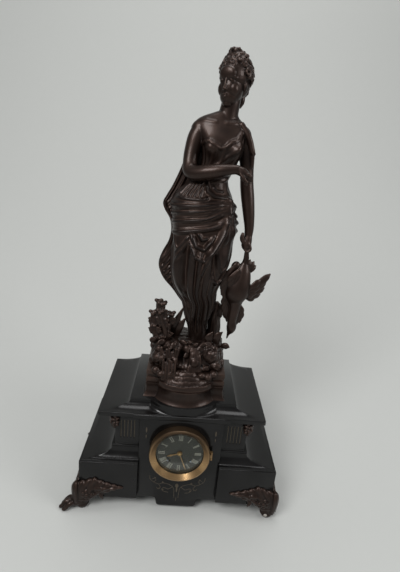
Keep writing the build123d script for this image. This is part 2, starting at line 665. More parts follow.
for side, sign in (("left", -1), ("right", 1)):
    with BuildPart() as pilaster:
        span((sign * half_panel, body_front, body_bottom), (sign * half_body, body_front + SLAB, body_top))
        span((sign * (half_body - SLAB), body_front, body_bottom), (sign * half_body, back, body_top))
        middle = sign * (half_panel + half_body) / 2
        with BuildSketch(facing(body_front + FLUTE_DEPTH)) as flutes:
            with Locations((middle, (body_bottom + body_top) / 2)):
                with GridLocations(FLUTE_PITCH, 0, FLUTE_COUNT, 1):
                    SlotOverall(FLUTE_LENGTH, FLUTE_WIDTH, rotation=90)
        extrude(amount=FLUTE_DEPTH, mode=Mode.SUBTRACT)
    write(pilaster, f"pilaster_{side}")

with BuildPart() as centre_panel:
    apron_half = APRON_WIDTH / 2
    shoulder = PLINTH_LIFT - APRON_SHOULDER_SHARE * APRON_DROP
    foot_half = APRON_FOOT_SHARE * apron_half
    with BuildSketch(facing(panel_back)) as outline:
        with BuildLine():
            Polyline((-half_panel, PLINTH_LIFT), (-half_panel, body_top), (half_panel, body_top),
                     (half_panel, PLINTH_LIFT), (apron_half, PLINTH_LIFT))
            Spline((apron_half, PLINTH_LIFT), ((apron_half + foot_half) / 2, shoulder),
                   (foot_half, PLINTH_LIFT - APRON_DROP), tangents=((-1, 0), (-1, 0)))
            Line((foot_half, PLINTH_LIFT - APRON_DROP), (-foot_half, PLINTH_LIFT - APRON_DROP))
            Spline((-foot_half, PLINTH_LIFT - APRON_DROP), (-(apron_half + foot_half) / 2, shoulder),
                   (-apron_half, PLINTH_LIFT), tangents=((-1, 0), (-1, 0)))
            Line((-apron_half, PLINTH_LIFT), (-half_panel, PLINTH_LIFT))
        make_face()
    extrude(amount=SLAB)
    drum(0, 0, hole_radius, panel_front, panel_back, mode=Mode.SUBTRACT)
write(centre_panel, "centre_panel")

with BuildPart() as back_panel:
    span((SLAB - half_plinth, wall_front, PLINTH_LIFT), (half_plinth - SLAB, back, plinth_top))
    span((SLAB - half_body, wall_front, plinth_top), (half_body - SLAB, back, body_top))
    drum(0, 0, hole_radius, wall_front, back, mode=Mode.SUBTRACT)
write(back_panel, "back_panel")

with BuildPart() as cornice_slab:
    half_cornice = CORNICE_WIDTH / 2
    span((-half_cornice, cornice_front, body_top), (half_cornice, back, cornice_top))
    half_break = half_panel + SLAB
    span((-half_break, cornice_front - CORNICE_BREAK, body_top), (half_break, cornice_front, cornice_top))
    chamfer(cornice_slab.edges().filter_by(Axis.X).group_by(Axis.Y)[0], EASE)
    upright(0, STUD_Y, STUD_RADIUS + STUD_CLEARANCE, body_top, cornice_top, mode=Mode.SUBTRACT)
write(cornice_slab, "cornice_slab")


def roof_outline(run, z):
    """Outline of the roof: straight sides and a bowed front, stepped in by a share of the run."""
    half = (CORNICE_WIDTH - run * (CORNICE_WIDTH - PLATFORM_WIDTH)) / 2
    front = cornice_front + run * PLATFORM_SETBACK
    bow = BOW_START + run * (BOW_DEPTH - BOW_START)
    with BuildSketch(Plane.XY.offset(z)) as outline:
        with BuildLine():
            Polyline((BOW_WIDTH / 2, front), (half, front), (half, back), (-half, back), (-half, front),
                     (-BOW_WIDTH / 2, front))
            ThreePointArc((-BOW_WIDTH / 2, front), (0, front - bow), (BOW_WIDTH / 2, front))
        make_face()
    return outline.sketch


hollow_levels = []
for step in range(HOLLOW_STEPS + 1):
    turn = radians(90 * step / HOLLOW_STEPS)
    hollow_levels.append((1 - cos(turn), sin(turn)))

with BuildPart() as roof_block:
    hollow_rise = ROOF_HOLLOW_SHARE * ROOF_RISE
    loft([roof_outline(run, cornice_top + rise * hollow_rise) for rise, run in hollow_levels])
    extrude(roof_outline(1, cornice_top + hollow_rise), amount=ROOF_RISE - hollow_rise)
    upright(0, STUD_Y, STUD_RADIUS + STUD_CLEARANCE, cornice_top, platform_top, mode=Mode.SUBTRACT)
write(roof_block, "roof_block")


# Claw feet, with the front right paw lost and its stub left
def leaf_outline(corner, inward, length, plane):
    """Leaf on one face of the plinth, from its corner inwards."""
    points = []
    for along_share, up_share in LEAF_SHARES:
        points.append((corner + inward * along_share * length, LEAF_FLOOR_GAP + up_share * LEAF_HEIGHT))
    with BuildSketch(plane) as leaf:
        with BuildLine():
            Spline(*points[:5])
            Polyline(*points[4:], points[0])
        make_face()
    return leaf.sketch


feet = (("foot_front_left", -1, True, True), ("foot_front_right", 1, True, False),
        ("foot_rear_left", -1, False, True), ("foot_rear_right", 1, False, True))
for name, sign, front_foot, whole in feet:
    depth = -1 if front_foot else 1
    corner_y = depth * back
    with BuildPart() as foot:
        side_face = Plane(origin=(sign * half_plinth, 0, 0), x_dir=(0, 1, 0), z_dir=(1, 0, 0))
        side_leaf = leaf_outline(corner_y, -depth, LEAF_SIDE_LENGTH, side_face)
        extrude(side_leaf, amount=sign * LEAF_THICKNESS)
        volute_y = corner_y - VOLUTE_RADIUS
        if front_foot:
            front_leaf = leaf_outline(sign * half_plinth, -sign, LEAF_LENGTH, facing(plinth_front))
            extrude(front_leaf, amount=LEAF_THICKNESS)
            volute_y = corner_y - VOLUTE_REACH
        upright(sign * (half_plinth + VOLUTE_REACH), volute_y, VOLUTE_RADIUS, LEAF_FLOOR_GAP,
                LEAF_FLOOR_GAP + LEAF_SHARES[0][1] * LEAF_HEIGHT)
        stub_x = sign * (half_plinth - STUB_INSET)
        stub_y = corner_y - depth * (STUB_INSET if front_foot else STUB_RADIUS)
        upright(stub_x, stub_y, STUB_RADIUS, 0, PLINTH_LIFT)
        if whole:
            turn = radians(PAW_TURN_FRONT if front_foot else 0)
            reach = PAW_REACH + STUB_INSET
            stations = []
            for out_share, lift_share, girth_share in PAW_SHARES:
                point = Vector(stub_x + sign * out_share * reach * cos(turn),
                               stub_y + depth * out_share * reach * sin(turn), lift_share * PAW_RADIUS)
                stations.append((point, girth_share * PAW_RADIUS))
            limb(stations)
        span((-half_plinth, plinth_front, PLINTH_LIFT), (half_plinth, back, plinth_top), mode=Mode.SUBTRACT)
        span((-PLINTH_WIDTH, -PLINTH_DEPTH, -PLINTH_LIFT), (PLINTH_WIDTH, PLINTH_DEPTH, 0),
             mode=Mode.SUBTRACT)
        span((-PLINTH_WIDTH, back, -PLINTH_LIFT), (PLINTH_WIDTH, PLINTH_DEPTH, plinth_top),
             mode=Mode.SUBTRACT)
    write(foot, name)

with BuildPart() as corner_masks:
    for sign in (-1, 1):
        middle = Vector(sign * half_body, body_front, body_top - MASK_DROP)
        outward = Plane(origin=middle, x_dir=(sign, 1, 0), z_dir=(sign, -1, 0))
        sections = []
        for share, reach in MASK_SHARES:
            with BuildSketch(outward.offset(reach * MASK_DEPTH)) as shield:
                Ellipse(share * MASK_WIDTH / 2, share * MASK_HEIGHT / 2)
            sections.append(shield.sketch)
        loft(sections)
        span((-half_body, body_front, body_bottom), (half_body, back, body_top), mode=Mode.SUBTRACT)
        span((-half_cornice, cornice_front, body_top), (half_cornice, back, cornice_top), mode=Mode.SUBTRACT)
write(corner_masks, "corner_masks")


# Figure group
def socle_outline(grow, z, inset=0, bow=SOCLE_BOW):
    """Socle outline with a bowed middle between two end blocks, grown outward or inset all round."""
    half = SOCLE_WIDTH / 2 + grow - inset
    front = -SOCLE_DEPTH / 2 - grow + inset
    chord = half - BLOCK_WIDTH + inset
    with BuildSketch(Plane.XY.offset(z)) as outline:
        with BuildLine():
            Polyline((chord, front), (half, front), (half, -front), (-half, -front), (-half, front),
                     (-chord, front))
            ThreePointArc((-chord, front), (0, front - bow), (chord, front))
        make_face()
    return outline.sketch


with BuildPart() as figure_socle:
    flare_top = platform_top + SOCLE_FLARE_SHARE * SOCLE_HEIGHT
    step_top = platform_top + SOCLE_FLARE
    loft([socle_outline(SOCLE_FLARE, platform_top), socle_outline(SOCLE_STEP_SHARE * SOCLE_FLARE, step_top),
          socle_outline(0, flare_top)])
    socle_half = SOCLE_WIDTH / 2
    socle_back = SOCLE_DEPTH / 2
    span((-socle_half, -socle_back, flare_top), (socle_half, socle_back, socle_top))
    for level, reach in RIPPLE_SHARES:
        ripple_top = platform_top + level * SOCLE_HEIGHT
        extrude(socle_outline(0, flare_top, 0, reach * SOCLE_BOW), amount=ripple_top - flare_top)
    for high, low in SOCLE_GROOVE_SHARES:
        low_z = platform_top + low * SOCLE_HEIGHT
        groove = (high - low) * SOCLE_HEIGHT
        with BuildSketch(Plane.XY.offset(low_z)) as band:
            add(socle_outline(SOCLE_FLARE, low_z))
            add(socle_outline(0, low_z, BLOCK_GROOVE), mode=Mode.SUBTRACT)
        extrude(amount=groove, mode=Mode.SUBTRACT)
    span((SOCLE_WALL - socle_half, SOCLE_WALL - socle_back, platform_top),
         (socle_half - SOCLE_WALL, socle_back - SOCLE_WALL, socle_top - SOCLE_WALL), mode=Mode.SUBTRACT)
    upright(0, STUD_Y, STUD_RADIUS + STUD_CLEARANCE, platform_top, socle_top, mode=Mode.SUBTRACT)
write(figure_socle, "figure_socle")


def mound_loft(wall, mode=Mode.ADD):
    """Rocky mound, thinner all round by wall."""
    sections = []
    for up, wide, deep, back_share in MOUND_SHARES:
        level = Plane(origin=(0, back_share * MOUND_DEPTH, socle_top + up * (MOUND_RISE - wall)))
        width = wide * MOUND_WIDTH - 2 * wall
        depth = deep * MOUND_DEPTH - 2 * wall
        with BuildSketch(level) as ring:
            RectangleRounded(width, depth, MOUND_CORNER_SHARE * depth)
        sections.append(ring.sketch)
    loft(sections, mode=mode)


with BuildPart() as mound:
    mound_loft(0)
    for x, y, z, radius in ROCK_SHARES:
        with Locations((x * MOUND_WIDTH / 2, y * MOUND_DEPTH / 2, socle_top + z * MOUND_RISE)):
            Sphere(radius * MOUND_RISE)
    span((-MOUND_WIDTH, -MOUND_DEPTH, platform_top), (MOUND_WIDTH, MOUND_DEPTH, socle_top),
         mode=Mode.SUBTRACT)
    mound_loft(MOUND_WALL, mode=Mode.SUBTRACT)
    upright(0, STUD_Y, STUD_BOSS, socle_top, figure_foot - MOUND_WALL)
    upright(0, STUD_Y, STUD_RADIUS, socle_top, socle_top + STUD_HOLD, mode=Mode.SUBTRACT)
write(mound, "mound")

with BuildPart() as draped_shape:
    ovals(BODY_SHARES)
    for rows in FOLD_SHARES:
        fold(rows)

with BuildPart() as tree_stump:
    figure_limb([(x, y, z, radius) for z, x, y, radius in STUMP_SHARES])
    add(mound.part, mode=Mode.SUBTRACT)
    span((-MOUND_WIDTH, -MOUND_DEPTH, platform_top), (MOUND_WIDTH, MOUND_DEPTH, figure_foot - MOUND_WALL),
         mode=Mode.SUBTRACT)
    add(draped_shape.part, mode=Mode.SUBTRACT)
write(tree_stump, "tree_stump")

with BuildPart() as figure_body:
    add(draped_shape.part)
    ovals(BODY_SHARES[1:-2], CASTING_WALL, mode=Mode.SUBTRACT)
write(figure_body, "figure_body")

with BuildPart() as figure_head:
    ovals(NECK_SHARES)
    ovals(HEAD_SHARES)
    figure_limb([(x, y, z, radius) for z, x, y, radius in KNOT_SHARES])
write(figure_head, "figure_head")

with BuildPart() as mantle:
    blade(MANTLE_SHARES, MANTLE_FRONT_SHARE, MANTLE_BACK_SHARE - MANTLE_FRONT_SHARE)
    add(draped_shape.part, mode=Mode.SUBTRACT)
write(mantle, "mantle")

with BuildPart() as right_arm:
    figure_limb(RIGHT_ARM_SHARES)
    add(draped_shape.part, mode=Mode.SUBTRACT)
    add(mantle.part, mode=Mode.SUBTRACT)
write(right_arm, "right_arm")

with BuildPart() as left_arm:
    figure_limb(LEFT_ARM_SHARES)
    add(draped_shape.part, mode=Mode.SUBTRACT)
write(left_arm, "left_arm")

with BuildPart() as bird:
    ovals(BIRD_SHARES)
    blade(LEFT_WING_SHARES, WING_FRONT_SHARE, WING_THICKNESS_SHARE)
    blade(RIGHT_WING_SHARES, WING_FRONT_SHARE, WING_THICKNESS_SHARE)
    figure_limb(BIRD_NECK_SHARES)
    figure_limb(BIRD_LEG_SHARES)
    add(left_arm.part, mode=Mode.SUBTRACT)
write(bird, "bird")

with BuildPart() as plant_cluster:
    for root_x, tip_x, tip_z, y, half_width in PLANT_SHARES:
        outline = ((root_x - half_width / 2, LEAF_ROOT_SHARE), ((root_x + tip_x) / 2 - half_width, tip_z / 2),
                   (tip_x, tip_z), ((root_x + tip_x) / 2 + half_width, tip_z / 2),
                   (root_x + half_width / 2, LEAF_ROOT_SHARE))
        blade(outline, y, LEAF_BLADE_SHARE)
    add(mound.part, mode=Mode.SUBTRACT)
write(plant_cluster, "plant_cluster")

with BuildPart() as figure_stud:
    upright(0, STUD_Y, STUD_RADIUS, body_top - STUD_TAIL, socle_top + STUD_HOLD)
write(figure_stud, "figure_stud")

with BuildPart() as figure_nut:
    with BuildSketch(Plane.XY.offset(body_top)) as hexagon:
        with Locations((0, STUD_Y)):
            RegularPolygon(STUD_NUT_RADIUS, 6)
            Circle(STUD_RADIUS, mode=Mode.SUBTRACT)
    extrude(amount=-STUD_NUT_LENGTH)
write(figure_nut, "figure_nut")

# Bezel, glass and dial
base_front = panel_front - BASE_DEPTH
door_back = base_front - DOOR_GAP
bezel_front = panel_front - BEZEL_DEPTH
seat_radius = BEZEL_SIGHT + GLASS_SEAT
glass_front = door_back - GLASS_THICKNESS - GLASS_FIT
hinge_x = BEZEL_RADIUS + KNUCKLE_STAND + KNUCKLE_RADIUS
hinge_y = (base_front + door_back) / 2
knuckle_half = KNUCKLE_LENGTH / 2


def knuckles(x, y, plate_x, plate_front_y, plate_back_y, middle):
    """Hinge knuckles on a leaf: the middle one, bored for the pin, or the outer two with the pin."""
    for low, high in KNUCKLE_MIDDLE_SHARES if middle else KNUCKLE_OUTER_SHARES:
        gap = DOOR_GAP / 2
        low_z = dial_z + low * KNUCKLE_LENGTH + gap
        high_z = dial_z + high * KNUCKLE_LENGTH - gap
        upright(x, y, KNUCKLE_RADIUS, low_z, high_z)
        span((plate_x, plate_front_y, low_z), (x, plate_back_y, high_z))
    if middle:
        bore = HINGE_PIN_RADIUS + RUN_FIT
        upright(x, y, bore, dial_z - knuckle_half, dial_z + knuckle_half, mode=Mode.SUBTRACT)
    else:
        pin_half = knuckle_half + KNUCKLE_LENGTH
        upright(x, y, HINGE_PIN_RADIUS, dial_z - pin_half, dial_z + pin_half)


with BuildPart() as bezel_base:
    wall = DIAL_RADIUS + DIAL_FIT
    rim = BEZEL_RADIUS - BASE_INSET
    turned(((wall - LEDGE, panel_front), (rim, panel_front), (rim, base_front), (wall, base_front),
            (wall, dial_back), (wall - LEDGE, dial_back)))
    knuckles(hinge_x, hinge_y, wall, base_front, base_front + KNUCKLE_RADIUS, middle=False)
write(bezel_base, "bezel_base")

with BuildPart() as bezel_door:
    ease = BEZEL_EASE_SHARE * BEZEL_RIM
    turned(((seat_radius, door_back), (BEZEL_RADIUS, door_back), (BEZEL_RADIUS, bezel_front + BEZEL_RIM),
            (BEZEL_RADIUS - ease, bezel_front + ease), (BEZEL_RADIUS - BEZEL_RIM, bezel_front),
            (BEZEL_SIGHT, glass_front - LIP), (BEZEL_SIGHT, glass_front), (seat_radius, glass_front)))
    knuckles(hinge_x, hinge_y, seat_radius, door_back - KNUCKLE_RADIUS, door_back, middle=True)
write(bezel_door, "bezel_door")

with BuildPart() as bezel_glass:
    dome = BEZEL_SIGHT - GLASS_FIT
    edge = seat_radius - GLASS_FIT
    glass_back = glass_front + GLASS_THICKNESS
    dome_radius = (dome**2 + GLASS_RISE**2) / (2 * GLASS_RISE)
    half_turn = asin(dome / dome_radius) / 2
    mid_r = dome_radius * sin(half_turn)
    mid_y = GLASS_RISE - dome_radius * (1 - cos(half_turn))
    with BuildSketch(Plane.XY.offset(dial_z)) as profile:
        with BuildLine():
            ThreePointArc((0, glass_front - GLASS_RISE), (mid_r, glass_front - mid_y), (dome, glass_front))
            Polyline((dome, glass_front), (edge, glass_front), (edge, glass_back), (dome, glass_back))
            ThreePointArc((dome, glass_back), (mid_r, glass_back - mid_y), (0, glass_back - GLASS_RISE))
            Line((0, glass_back - GLASS_RISE), (0, glass_front - GLASS_RISE))
        make_face()
    revolve(axis=dial_axis)
write(bezel_glass, "bezel_glass")

with BuildPart() as dial_plate:
    drum(0, 0, DIAL_RADIUS, dial_front, dial_back)
    for angle in DIAL_FOOT_ANGLES:
        foot_x = PILLAR_CIRCLE * cos(radians(angle))
        foot_z = PILLAR_CIRCLE * sin(radians(angle))
        drum(foot_x, foot_z, DIAL_FOOT_RADIUS, dial_back, plate_front)
    drum(0, 0, HOUR_PIPE_RADIUS + DIAL_FIT, dial_front, dial_back, mode=Mode.SUBTRACT)
    for x, z in (time_at, strike_at):
        drum(x, z, WINDING_HOLE, dial_front, dial_back, mode=Mode.SUBTRACT)
    drum(*regulator_at, REGULATOR_HOLE, dial_front, dial_back, mode=Mode.SUBTRACT)
write(dial_plate, "dial_plate")


def hand(length, width, stand, bore, angle):
    """Pierced leaf-shaped hand with a round boss, pointing at the angle seen from the front."""
    rear = dial_front - stand
    run = (cos(radians(angle)), 0, sin(radians(angle)))
    place = Plane(origin=(0, rear, dial_z), x_dir=run, z_dir=(0, -1, 0))
    neck = HAND_NECK_SHARE * length
    belly = HAND_BELLY_SHARE * length
    with BuildSketch(place) as outline:
        Circle(bore + width / 2)
        with BuildLine():
            Polyline((0, width / 4), (neck, width / 4), (belly, width / 2), (length, 0), (belly, -width / 2),
                     (neck, -width / 4), (0, -width / 4), close=True)
        make_face()
        Circle(bore, mode=Mode.SUBTRACT)
    extrude(outline.sketch, amount=HAND_THICKNESS)


with BuildPart() as hour_hand:
    hand(HOUR_HAND_LENGTH, HOUR_HAND_WIDTH, HOUR_HAND_STAND, HOUR_PIPE_RADIUS, HOUR_HAND_ANGLE)
write(hour_hand, "hour_hand")

with BuildPart() as minute_hand:
    hand(MINUTE_HAND_LENGTH, MINUTE_HAND_WIDTH, MINUTE_HAND_STAND, CANNON_RADIUS, MINUTE_HAND_ANGLE)
write(minute_hand, "minute_hand")


# Movement plates
def plate(front, rear):
    """Round plate bored for every arbor."""
    drum(0, 0, PLATE_RADIUS, front, rear)
    for x, z in pivots:
        drum(x, z, PIVOT_RADIUS + RUN_FIT, front, rear, mode=Mode.SUBTRACT)
    for x, z in (time_at, strike_at):
        drum(x, z, WINDING_RADIUS + RUN_FIT, front, rear, mode=Mode.SUBTRACT)
    drum(*hammer_at, PIVOT_RADIUS + RUN_FIT, front, rear, mode=Mode.SUBTRACT)
    drum(*regulator_at, REGULATOR_RADIUS + RUN_FIT, front, rear, mode=Mode.SUBTRACT)


with BuildPart() as front_plate:
    plate(plate_front, plates_in)
    for angle in PILLAR_ANGLES:
        pillar_x = PILLAR_CIRCLE * cos(radians(angle))
        pillar_z = PILLAR_CIRCLE * sin(radians(angle))
        drum(pillar_x, pillar_z, PILLAR_RADIUS, plates_in, plates_out)
    drum(*minute_at, ARBOR_RADIUS, hour_front, plate_front)
write(front_plate, "front_plate")

with BuildPart() as back_plate:
    plate(plates_out, plate_back)
write(back_plate, "back_plate")

# Barrels, arbors and wheels
for name, place, meets in (("time", time_at, second_at), ("strike", strike_at, strike_second_at)):
    with BuildPart() as barrel:
        drum(*place, BARREL_RADIUS, plates_in + BARREL_START, great_front)
        toothed(*place, GREAT_TEETH, GREAT_MODULE, bearing(place, meets), great_front, great_rear)
        drum(*place, WINDING_RADIUS + RUN_FIT, plates_in, plates_out, mode=Mode.SUBTRACT)
    write(barrel, f"{name}_barrel")
    with BuildPart() as winder:
        drum(*place, WINDING_RADIUS, plate_front, plate_back)
        square_bar(*place, WINDING_SQUARE, dial_front - WINDING_STAND, plate_front)
    write(winder, f"{name}_arbor")

with BuildPart() as intermediate_wheel:
    arbor(*second_at)
    toothed(*second_at, GREAT_PINION_TEETH, GREAT_MODULE,
            gap_turn(bearing(second_at, time_at), GREAT_PINION_TEETH), great_rear - PINION_LENGTH, great_rear)
    toothed(*second_at, SECOND_TEETH, SECOND_MODULE, bearing(second_at, centre_at), second_front, second_rear)
write(intermediate_wheel, "intermediate_wheel")

cannon_tip = dial_front - MINUTE_HAND_STAND - HAND_THICKNESS
with BuildPart() as centre_wheel:
    drum(0, 0, ARBOR_RADIUS, plates_in + END_SHAKE, plates_out - END_SHAKE)
    drum(0, 0, PIVOT_RADIUS, cannon_tip, plates_in + END_SHAKE)
    drum(0, 0, PIVOT_RADIUS, plates_out - END_SHAKE, plate_back)
    pinion_turn = gap_turn(bearing(centre_at, second_at), CENTRE_PINION_TEETH)
    toothed(0, 0, CENTRE_PINION_TEETH, SECOND_MODULE, pinion_turn, second_rear - PINION_LENGTH, second_rear)
    centre_front = plates_in + CENTRE_LEVEL
    toothed(0, 0, CENTRE_TEETH, CENTRE_MODULE, bearing(centre_at, third_at), centre_front,
            centre_front + WHEEL_THICKNESS)
    crossings(0, 0, CENTRE_TEETH * CENTRE_MODULE / 2, centre_front, centre_front + WHEEL_THICKNESS)
write(centre_wheel, "centre_wheel")

with BuildPart() as third_wheel:
    arbor(*third_at)
    toothed(*third_at, THIRD_PINION_TEETH, CENTRE_MODULE,
            gap_turn(bearing(third_at, centre_at), THIRD_PINION_TEETH), centre_front - ARBOR_RADIUS,
            centre_front - ARBOR_RADIUS + PINION_LENGTH)
    third_front = plates_in + THIRD_LEVEL
    toothed(*third_at, THIRD_TEETH, THIRD_MODULE, bearing(third_at, escape_at), third_front,
            third_front + WHEEL_THICKNESS)
    crossings(*third_at, THIRD_TEETH * THIRD_MODULE / 2, third_front, third_front + WHEEL_THICKNESS)
write(third_wheel, "third_wheel")

with BuildPart() as escape_wheel:
    arbor(*escape_at)
    toothed(*escape_at, ESCAPE_PINION_TEETH, THIRD_MODULE,
            gap_turn(bearing(escape_at, third_at), ESCAPE_PINION_TEETH), third_front - ARBOR_RADIUS,
            third_front - ARBOR_RADIUS + PINION_LENGTH)
    escape_front = plates_in + ESCAPE_LEVEL
    points = []
    for tooth in range(ESCAPE_TEETH):
        for depth_share, turn_share in ESCAPE_TOOTH_SHARES:
            radius = ESCAPE_RADIUS - depth_share * ESCAPE_TOOTH
            angle = radians((tooth + turn_share) * 360 / ESCAPE_TEETH)
            points.append((radius * cos(angle), dial_z + escape_at[1] + radius * sin(angle)))
    with BuildSketch(facing(escape_front + WHEEL_THICKNESS)) as saw:
        with BuildLine():
            Polyline(*points, close=True)
        make_face()
    extrude(amount=WHEEL_THICKNESS)
write(escape_wheel, "escape_wheel")

with BuildPart() as pallet_anchor:
    crutch_front = plate_back + CRUTCH_STAND
    crutch_back = crutch_front + CRUTCH_THICKNESS
    prong_back = crutch_back + EYE_SETBACK + EYE_LENGTH + CRUTCH_STAND
    arbor(*anchor_at, rear_end=crutch_back)
    anchor_z = dial_z + anchor_at[1]
    arm_inner = ESCAPE_RADIUS + ANCHOR_GAP
    with BuildSketch(facing(escape_front + WHEEL_THICKNESS)) as anchor:
        with Locations((0, dial_z + escape_at[1])):
            Circle(arm_inner + ANCHOR_WIDTH)
            Circle(arm_inner, mode=Mode.SUBTRACT)
        with Locations((0, dial_z + escape_at[1] - ANCHOR_RISE / 2)):
            Rectangle(2 * PLATE_RADIUS, 2 * ANCHOR_RISE, mode=Mode.SUBTRACT)
    extrude(amount=WHEEL_THICKNESS)
    drum(*anchor_at, ANCHOR_WIDTH, escape_front, escape_front + WHEEL_THICKNESS)
    drum(*anchor_at, CRUTCH_WIDTH / 2 + ARBOR_RADIUS, crutch_front, crutch_back)
    span((-CRUTCH_WIDTH / 2, crutch_front, anchor_z - CRUTCH_LENGTH),
         (CRUTCH_WIDTH / 2, crutch_back, anchor_z))
    prong_inner = ROD_RADIUS + PRONG_GAP
    foot_low = anchor_z - CRUTCH_LENGTH
    span((-prong_inner - PRONG_WIDTH, crutch_front, foot_low),
         (prong_inner + PRONG_WIDTH, crutch_back, foot_low + CRUTCH_WIDTH))
    for sign in (-1, 1):
        span((sign * prong_inner, crutch_back, foot_low),
             (sign * (prong_inner + PRONG_WIDTH), prong_back, foot_low + CRUTCH_WIDTH))
write(pallet_anchor, "pallet_anchor")

with BuildPart() as suspension_cock:
    hook_front = crutch_back + EYE_SETBACK - END_SHAKE
    hook_back = hook_front + EYE_LENGTH + 2 * END_SHAKE
    bar_low = dial_z + regulator_at[1] + REGULATOR_RADIUS + END_SHAKE
    bar_high = bar_low + COCK_THICKNESS
    arm_back = hook_back + COCK_THICKNESS
    for sign in (-1, 1):
        leg = sign * COCK_SPAN / 2
        span((leg - COCK_WIDTH / 2, plate_back, anchor_z - EYE_RADIUS),
             (leg + COCK_WIDTH / 2, plate_back + COCK_THICKNESS, bar_high))
    half_bar = (COCK_SPAN + COCK_WIDTH) / 2
    span((-half_bar, plate_back, bar_low), (half_bar, arm_back, bar_high))
    span((-COCK_WIDTH / 2, hook_back, anchor_z - EYE_RADIUS), (COCK_WIDTH / 2, arm_back, bar_high))
    drum(*anchor_at, HOOK_PIN_RADIUS, hook_front, hook_back)
write(suspension_cock, "suspension_cock")

with BuildPart() as regulator_arbor:
    drum(*regulator_at, REGULATOR_RADIUS, plate_front, plate_back + COCK_THICKNESS)
    square_bar(*regulator_at, REGULATOR_RADIUS, dial_front - REGULATOR_STAND, plate_front)
write(regulator_arbor, "regulator_arbor")

rod_front = crutch_back + EYE_SETBACK
rod_middle = rod_front + EYE_LENGTH / 2
bob_z = anchor_z - PENDULUM_LENGTH
with BuildPart() as pendulum_rod:
    drum(*anchor_at, EYE_RADIUS, rod_front, rod_front + EYE_LENGTH)
    upright(0, rod_middle, ROD_RADIUS, bob_z - BOB_RADIUS - NUT_LENGTH, anchor_z - EYE_RADIUS / 2)
    upright(0, rod_middle, NUT_RADIUS, bob_z - BOB_RADIUS - NUT_LENGTH, bob_z - BOB_RADIUS)
    drum(*anchor_at, HOOK_PIN_RADIUS + RUN_FIT, rod_front, rod_front + EYE_LENGTH, mode=Mode.SUBTRACT)
write(pendulum_rod, "pendulum_rod")

with BuildPart() as pendulum_bob:
    lens_edge = BOB_EDGE_SHARE * BOB_RADIUS
    with BuildSketch(Plane.XY.offset(bob_z)) as lens:
        with BuildLine():
            ThreePointArc((0, rod_middle - BOB_THICKNESS / 2), (lens_edge, rod_middle - BOB_THICKNESS / 4),
                          (BOB_RADIUS, rod_middle))
            ThreePointArc((BOB_RADIUS, rod_middle), (lens_edge, rod_middle + BOB_THICKNESS / 4),
                          (0, rod_middle + BOB_THICKNESS / 2))
            Line((0, rod_middle + BOB_THICKNESS / 2), (0, rod_middle - BOB_THICKNESS / 2))
        make_face()
    revolve(axis=Axis((0, 0, bob_z), (0, 1, 0)))
    upright(0, rod_middle, ROD_RADIUS, bob_z - BOB_RADIUS, bob_z + BOB_RADIUS, mode=Mode.SUBTRACT)
write(pendulum_bob, "pendulum_bob")

# Motion work
with BuildPart() as cannon_pinion:
    drum(0, 0, CANNON_RADIUS, cannon_tip, cannon_rear)
    toothed(0, 0, CANNON_TEETH, CANNON_MODULE, MINUTE_ANGLE, cannon_front, cannon_rear)
    drum(0, 0, PIVOT_RADIUS + RUN_FIT, cannon_tip, cannon_rear, mode=Mode.SUBTRACT)
write(cannon_pinion, "cannon_pinion")

with BuildPart() as minute_wheel:
    wheel_rear = cannon_rear - END_SHAKE
    toothed(*minute_at, MINUTE_TEETH, CANNON_MODULE, gap_turn(MINUTE_ANGLE + 180, MINUTE_TEETH),
            wheel_rear - WHEEL_THICKNESS, wheel_rear)
    toothed(*minute_at, MINUTE_PINION_TEETH, hour_module, MINUTE_ANGLE + 180, hour_front, wheel_rear)
    drum(*minute_at, ARBOR_RADIUS + RUN_FIT, hour_front, plate_front, mode=Mode.SUBTRACT)
write(minute_wheel, "minute_wheel")

with BuildPart() as hour_wheel:
    toothed(0, 0, HOUR_TEETH, hour_module, gap_turn(MINUTE_ANGLE, HOUR_TEETH), hour_front, hour_rear)
    drum(0, 0, HOUR_PIPE_RADIUS, dial_front - HOUR_HAND_STAND - HAND_THICKNESS, hour_rear)
    drum(0, 0, CANNON_RADIUS + RUN_FIT, cannon_tip, hour_rear, mode=Mode.SUBTRACT)
write(hour_wheel, "hour_wheel")

# Strike work
with BuildPart() as strike_wheel:
    count_front = plate_back + CRUTCH_STAND
    arbor(*strike_second_at, rear_end=count_front + WHEEL_THICKNESS)
    pinion_turn = gap_turn(bearing(strike_second_at, strike_at), GREAT_PINION_TEETH)
    toothed(*strike_second_at, GREAT_PINION_TEETH, GREAT_MODULE, pinion_turn, great_rear - PINION_LENGTH,
            great_rear)
    toothed(*strike_second_at, STRIKE_TEETH, STRIKE_MODULE, FLY_ANGLE, second_front, second_rear)
    drum(*strike_second_at, COUNT_WHEEL_RADIUS, count_front, count_front + WHEEL_THICKNESS)
    notch_turn = 0
    with BuildSketch(facing(count_front + WHEEL_THICKNESS)) as notches:
        for hour in range(1, COUNT_NOTCHES + 1):
            notch_turn += hour * 360 / (COUNT_NOTCHES * (COUNT_NOTCHES + 1) / 2)
            notch_x = strike_second_at[0] + COUNT_WHEEL_RADIUS * cos(radians(notch_turn))
            notch_z = dial_z + strike_second_at[1] + COUNT_WHEEL_RADIUS * sin(radians(notch_turn))
            with Locations((notch_x, notch_z)):
                Rectangle(COUNT_NOTCH, COUNT_NOTCH, rotation=notch_turn)
    extrude(amount=WHEEL_THICKNESS, mode=Mode.SUBTRACT)
write(strike_wheel, "strike_wheel")

